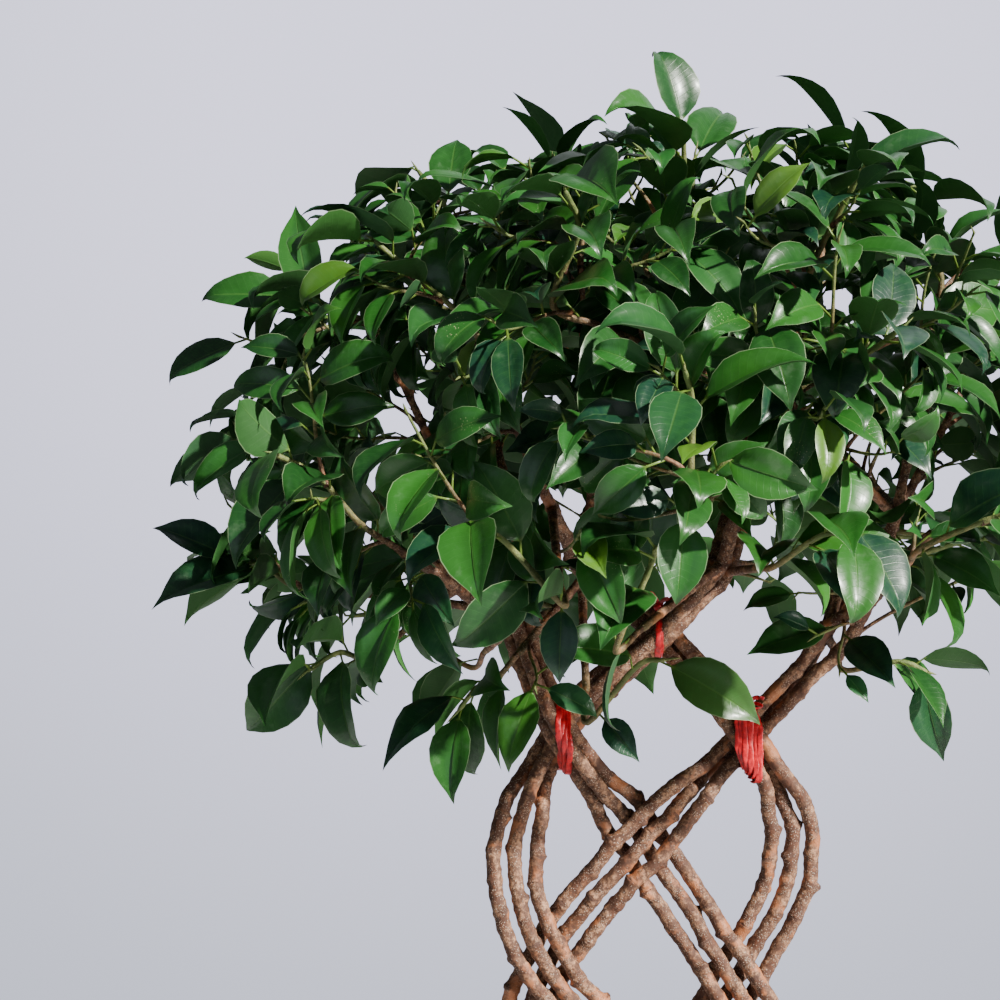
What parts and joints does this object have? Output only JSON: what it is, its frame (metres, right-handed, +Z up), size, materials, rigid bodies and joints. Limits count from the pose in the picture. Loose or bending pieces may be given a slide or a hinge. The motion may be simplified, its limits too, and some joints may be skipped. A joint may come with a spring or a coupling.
{
  "type": "potted braided ficus",
  "caption": "Potted ficus tree whose thin stems are braided into an upright lattice, tied with tape, under a wide leafy crown; it stands on the floor.",
  "frame": {"origin": "centre of the pot's flat underside, on the floor", "axes": "+Z up, along the pot's axis; -Y towards the viewer who looks at the braid's flat side; +X to that viewer's right"},
  "size_m": [0.7432, 0.6622, 1.1273],
  "materials": {
    "pot": "off-white satin glaze",
    "soil": "loose dark potting mix",
    "bark": "knotty tan bark with pale pores",
    "tape": "soft red tape",
    "leaf": "glossy green leaves"
  },
  "bodies": {
    "root": {"pot": "pot", "shoot_01": "leaf", "shoot_02": "leaf", "shoot_03": "leaf", "shoot_04": "leaf", "shoot_05": "leaf", "shoot_06": "leaf", "shoot_07": "leaf", "shoot_08": "leaf", "shoot_09": "leaf", "shoot_10": "leaf", "shoot_11": "leaf", "shoot_12": "leaf", "shoot_13": "leaf", "shoot_14": "leaf", "shoot_15": "leaf", "shoot_16": "leaf", "shoot_17": "leaf", "shoot_18": "leaf", "shoot_19": "leaf", "shoot_20": "leaf", "shoot_21": "leaf", "shoot_22": "leaf", "shoot_23": "leaf", "shoot_24": "leaf", "shoot_25": "leaf", "shoot_26": "leaf", "shoot_27": "leaf", "shoot_28": "leaf", "shoot_29": "leaf", "shoot_30": "leaf", "shoot_31": "leaf", "shoot_32": "leaf", "shoot_33": "leaf", "shoot_34": "leaf", "shoot_35": "leaf", "shoot_36": "leaf", "shoot_37": "leaf", "shoot_38": "leaf", "shoot_39": "leaf", "shoot_40": "leaf", "soil": "soil", "stem_01": "bark", "stem_02": "bark", "stem_03": "bark", "stem_04": "bark", "stem_05": "bark", "stem_06": "bark", "stem_07": "bark", "stem_08": "bark", "stem_09": "bark", "stem_10": "bark", "stem_11": "bark", "stem_12": "bark", "tie_left": "tape", "tie_right": "tape", "tie_top": "tape"}
  },
  "joints": []
}
